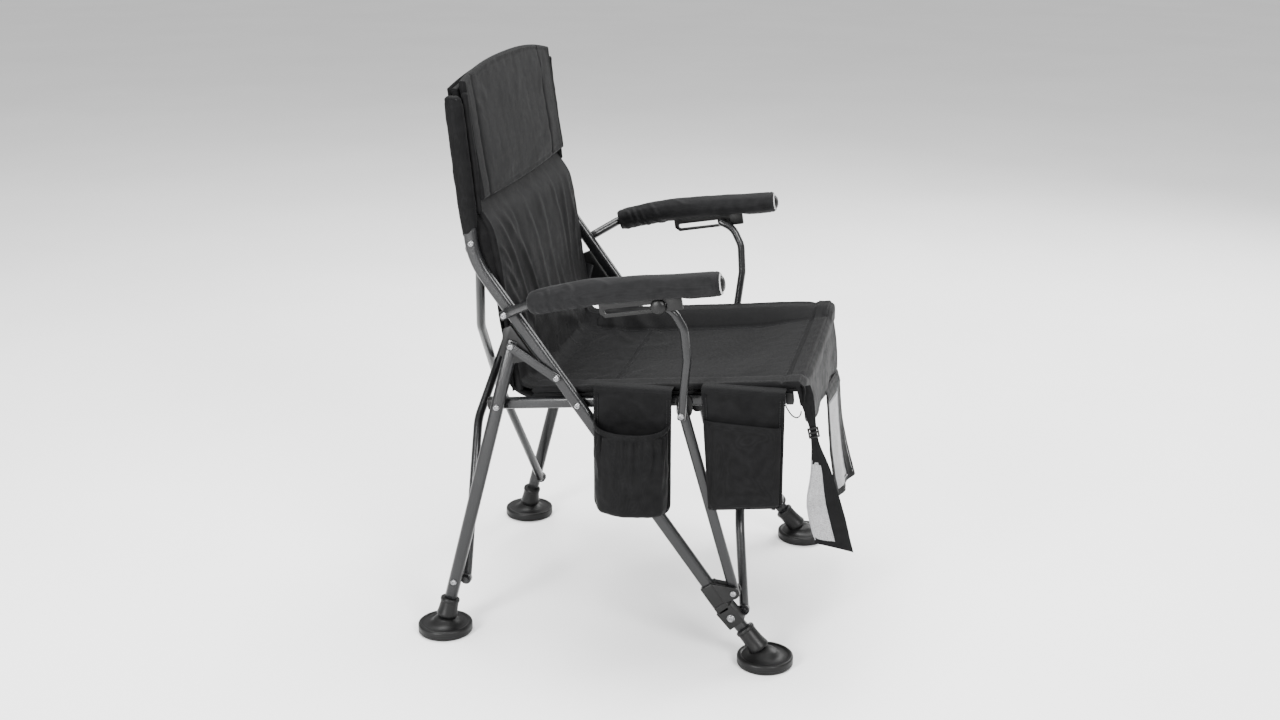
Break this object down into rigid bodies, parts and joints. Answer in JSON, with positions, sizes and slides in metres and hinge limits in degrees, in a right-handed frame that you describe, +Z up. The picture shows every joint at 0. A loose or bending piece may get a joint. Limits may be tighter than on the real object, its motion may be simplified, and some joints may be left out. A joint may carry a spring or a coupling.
{
  "type": "folding hard-arm camp chair",
  "caption": "Folding camp chair with padded seat and back, slotted hard armrests, cross braces, side pockets and swivelling mud feet.",
  "frame": {"origin": "centre of the bounding box's footprint, on the ground", "axes": "+Z up; the sitter faces -Y and the sitter's left is +X"},
  "size_m": [0.673, 0.7502, 0.978],
  "materials": {
    "frame_coat": "fine hammered powder coat, charcoal",
    "joint_plastic": "satin moulded",
    "foot_plastic": "satin moulded",
    "arm_foam": "woven cover over foam",
    "black_cloth": "coarse coated weave",
    "sling_cloth": "plain weave",
    "grey_net": "open net in a black border",
    "heater_felt": "felt laminate",
    "cord_black": "braided"
  },
  "bodies": {
    "back": {"back_cover": "black_cloth", "back_heating_pad": "heater_felt", "back_sling": "sling_cloth", "headrest": "black_cloth"},
    "main_left": {"main_tube_left": "frame_coat", "front_foot_socket_left": "foot_plastic", "brace_bracket_left": "joint_plastic"},
    "rail_left": {"seat_rail_left": "frame_coat", "strut_bracket_left": "joint_plastic"},
    "link_left": {"fold_link_left": "frame_coat"},
    "leg_left": {"rear_leg_left": "frame_coat", "leg_top_bracket_left": "joint_plastic", "rear_foot_socket_left": "foot_plastic"},
    "strut_left": {"front_strut_left": "frame_coat"},
    "slider_left": {"slider_left": "joint_plastic"},
    "arm_left": {"armrest_bar_left": "frame_coat", "slot_plate_left": "joint_plastic", "armrest_pad_left": "arm_foam", "armrest_cap_left": "joint_plastic"},
    "post_left": {"arm_post_left": "frame_coat", "slot_knob_left": "joint_plastic"},
    "rear_knuckle_left": {"rear_knuckle_left": "joint_plastic"},
    "rear_brace_left": {"rear_brace_left": "frame_coat"},
    "front_knuckle_left": {"front_knuckle_left": "joint_plastic"},
    "front_brace_left": {"front_brace_left": "frame_coat"},
    "front_foot_left": {"front_foot_pad_left": "foot_plastic"},
    "rear_foot_left": {"rear_foot_pad_left": "foot_plastic"},
    "main_right": {"main_tube_right": "frame_coat", "front_foot_socket_right": "foot_plastic", "brace_bracket_right": "joint_plastic"},
    "rail_right": {"seat_rail_right": "frame_coat", "strut_bracket_right": "joint_plastic"},
    "link_right": {"fold_link_right": "frame_coat"},
    "leg_right": {"rear_leg_right": "frame_coat", "leg_top_bracket_right": "joint_plastic", "rear_foot_socket_right": "foot_plastic"},
    "strut_right": {"front_strut_right": "frame_coat"},
    "slider_right": {"slider_right": "joint_plastic"},
    "arm_right": {"armrest_bar_right": "frame_coat", "slot_plate_right": "joint_plastic", "armrest_pad_right": "arm_foam", "armrest_cap_right": "joint_plastic"},
    "post_right": {"arm_post_right": "frame_coat", "slot_knob_right": "joint_plastic"},
    "rear_knuckle_right": {"rear_knuckle_right": "joint_plastic"},
    "rear_brace_right": {"rear_brace_right": "frame_coat"},
    "front_knuckle_right": {"front_knuckle_right": "joint_plastic"},
    "front_brace_right": {"front_brace_right": "frame_coat"},
    "front_foot_right": {"front_foot_pad_right": "foot_plastic"},
    "rear_foot_right": {"rear_foot_pad_right": "foot_plastic"},
    "seat": {"seat_sling": "sling_cloth", "seat_heating_pad": "heater_felt", "seat_cover": "black_cloth", "front_skirt": "black_cloth", "flap_left": "grey_net", "flap_right": "grey_net", "cup_pocket": "black_cloth", "flat_pocket": "black_cloth", "toggle_cord": "cord_black"}
  },
  "joints": [
    {"name": "main_slide_left", "type": "slide", "parent": "back", "child": "main_left", "axis": [-1, 0, 0], "range_m": [0, 0.15812]},
    {"name": "fold", "type": "hinge", "parent": "main_left", "child": "rail_left", "pos_m": [0.256, 0.0836, 0.4355], "axis": [-1, 0, 0], "range_deg": [0, 64], "deforming": ["back_cover", "back_heating_pad", "back_sling", "headrest", "seat_sling", "seat_heating_pad", "seat_cover", "front_skirt", "flap_left", "flap_right", "cup_pocket", "flat_pocket", "toggle_cord"]},
    {"name": "link_pivot_left", "type": "hinge", "parent": "main_left", "child": "link_left", "pos_m": [0.2727, 0.1176, 0.482], "axis": [-1, 0, 0], "range_deg": [0, 85.17]},
    {"name": "leg_pivot_left", "type": "hinge", "parent": "rail_left", "child": "leg_left", "pos_m": [0.2555, 0.2231, 0.422], "axis": [1, 0, 0], "range_deg": [0, 28.4]},
    {"name": "strut_pivot_left", "type": "hinge", "parent": "rail_left", "child": "strut_left", "pos_m": [0.262, -0.093, 0.4364], "axis": [1, 0, 0], "range_deg": [0, 66.45]},
    {"name": "slider_slide_left", "type": "slide", "parent": "main_left", "child": "slider_left", "axis": [0, 0.5905, 0.807], "range_m": [0, 0.19171]},
    {"name": "arm_pivot_left", "type": "hinge", "parent": "main_left", "child": "arm_left", "pos_m": [0.276, 0.2001, 0.5878], "axis": [-1, 0, 0], "range_deg": [0, 52.93]},
    {"name": "post_pivot_left", "type": "hinge", "parent": "rail_left", "child": "post_left", "pos_m": [0.276, -0.093, 0.4364], "axis": [1, 0, 0], "range_deg": [0, 42.84]},
    {"name": "rear_knuckle_pivot_left", "type": "hinge", "parent": "main_left", "child": "rear_knuckle_left", "pos_m": [0.2558, 0.2586, 0.7], "axis": [-1, 0, 0], "range_deg": [0, 23.62]},
    {"name": "rear_brace_pivot_left", "type": "hinge", "parent": "rear_knuckle_left", "child": "rear_brace_left", "pos_m": [0.226, 0.2586, 0.7], "axis": [0, -0.9983, -0.0591], "range_deg": [0, 26.17]},
    {"name": "front_knuckle_pivot_left", "type": "hinge", "parent": "rail_left", "child": "front_knuckle_left", "pos_m": [0.2408, -0.1124, 0.449], "axis": [1, 0, 0], "range_deg": [0, 55.84]},
    {"name": "front_brace_pivot_left", "type": "hinge", "parent": "front_knuckle_left", "child": "front_brace_left", "pos_m": [0.214, -0.1124, 0.449], "axis": [0, -0.9745, 0.2243], "range_deg": [0, 36.88]},
    {"name": "front_foot_tilt_left", "type": "hinge", "parent": "main_left", "child": "front_foot_left", "pos_m": [0.268, -0.2374, 0.014], "axis": [1, 0, 0], "range_deg": [-12, 12]},
    {"name": "rear_foot_tilt_left", "type": "hinge", "parent": "leg_left", "child": "rear_foot_left", "pos_m": [0.268, 0.3276, 0.014], "axis": [1, 0, 0], "range_deg": [-12, 12]},
    {"name": "main_slide_right", "type": "slide", "parent": "back", "child": "main_right", "axis": [1, 0, 0], "range_m": [0, 0.15812]},
    {"name": "rail_pivot_right", "type": "hinge", "parent": "main_right", "child": "rail_right", "pos_m": [-0.256, 0.0836, 0.4355], "axis": [-1, 0, 0], "range_deg": [0, 64.01]},
    {"name": "link_pivot_right", "type": "hinge", "parent": "main_right", "child": "link_right", "pos_m": [-0.2727, 0.1176, 0.482], "axis": [-1, 0, 0], "range_deg": [0, 85.17]},
    {"name": "leg_pivot_right", "type": "hinge", "parent": "rail_right", "child": "leg_right", "pos_m": [-0.2555, 0.2231, 0.422], "axis": [1, 0, 0], "range_deg": [0, 28.4]},
    {"name": "strut_pivot_right", "type": "hinge", "parent": "rail_right", "child": "strut_right", "pos_m": [-0.262, -0.093, 0.4364], "axis": [1, 0, 0], "range_deg": [0, 66.45]},
    {"name": "slider_slide_right", "type": "slide", "parent": "main_right", "child": "slider_right", "axis": [0, 0.5905, 0.807], "range_m": [0, 0.19171]},
    {"name": "arm_pivot_right", "type": "hinge", "parent": "main_right", "child": "arm_right", "pos_m": [-0.276, 0.2001, 0.5878], "axis": [-1, 0, 0], "range_deg": [0, 52.93]},
    {"name": "post_pivot_right", "type": "hinge", "parent": "rail_right", "child": "post_right", "pos_m": [-0.276, -0.093, 0.4364], "axis": [1, 0, 0], "range_deg": [0, 42.84]},
    {"name": "rear_knuckle_pivot_right", "type": "hinge", "parent": "main_right", "child": "rear_knuckle_right", "pos_m": [-0.2558, 0.2586, 0.7], "axis": [-1, 0, 0], "range_deg": [0, 23.62]},
    {"name": "rear_brace_pivot_right", "type": "hinge", "parent": "rear_knuckle_right", "child": "rear_brace_right", "pos_m": [-0.226, 0.2586, 0.7], "axis": [0, 0.9983, 0.0591], "range_deg": [0, 26.17]},
    {"name": "front_knuckle_pivot_right", "type": "hinge", "parent": "rail_right", "child": "front_knuckle_right", "pos_m": [-0.2408, -0.1124, 0.449], "axis": [1, 0, 0], "range_deg": [0, 55.84]},
    {"name": "front_brace_pivot_right", "type": "hinge", "parent": "front_knuckle_right", "child": "front_brace_right", "pos_m": [-0.214, -0.1124, 0.449], "axis": [0, 0.9745, -0.2243], "range_deg": [0, 36.88]},
    {"name": "front_foot_tilt_right", "type": "hinge", "parent": "main_right", "child": "front_foot_right", "pos_m": [-0.268, -0.2374, 0.014], "axis": [1, 0, 0], "range_deg": [-12, 12]},
    {"name": "rear_foot_tilt_right", "type": "hinge", "parent": "leg_right", "child": "rear_foot_right", "pos_m": [-0.268, 0.3276, 0.014], "axis": [1, 0, 0], "range_deg": [-12, 12]},
    {"name": "seat_fold", "type": "hinge", "parent": "back", "child": "seat", "pos_m": [0, 0.0836, 0.4355], "axis": [-1, 0, 0], "range_deg": [0, 64.01]}
  ],
  "couplings": [
    {"joint": "main_slide_left", "follows": "fold", "m_per_rad": 0.14155},
    {"joint": "link_pivot_left", "follows": "fold", "ratio": 1.3306},
    {"joint": "leg_pivot_left", "follows": "fold", "ratio": 0.44354},
    {"joint": "strut_pivot_left", "follows": "fold", "ratio": 1.0381},
    {"joint": "slider_slide_left", "follows": "fold", "m_per_rad": 0.17162},
    {"joint": "arm_pivot_left", "follows": "fold", "ratio": 0.82685},
    {"joint": "post_pivot_left", "follows": "fold", "ratio": 0.66925},
    {"joint": "rear_knuckle_pivot_left", "follows": "fold", "ratio": 0.36898},
    {"joint": "rear_brace_pivot_left", "follows": "fold", "ratio": 0.40871},
    {"joint": "front_knuckle_pivot_left", "follows": "fold", "ratio": 0.87235},
    {"joint": "front_brace_pivot_left", "follows": "fold", "ratio": 0.57616},
    {"joint": "main_slide_right", "follows": "fold", "m_per_rad": 0.14155},
    {"joint": "rail_pivot_right", "follows": "fold", "ratio": 1},
    {"joint": "link_pivot_right", "follows": "fold", "ratio": 1.3306},
    {"joint": "leg_pivot_right", "follows": "fold", "ratio": 0.44354},
    {"joint": "strut_pivot_right", "follows": "fold", "ratio": 1.0381},
    {"joint": "slider_slide_right", "follows": "fold", "m_per_rad": 0.17162},
    {"joint": "arm_pivot_right", "follows": "fold", "ratio": 0.82685},
    {"joint": "post_pivot_right", "follows": "fold", "ratio": 0.66925},
    {"joint": "rear_knuckle_pivot_right", "follows": "fold", "ratio": 0.36898},
    {"joint": "rear_brace_pivot_right", "follows": "fold", "ratio": 0.40871},
    {"joint": "front_knuckle_pivot_right", "follows": "fold", "ratio": 0.87235},
    {"joint": "front_brace_pivot_right", "follows": "fold", "ratio": 0.57616},
    {"joint": "seat_fold", "follows": "fold", "ratio": 1}
  ]
}
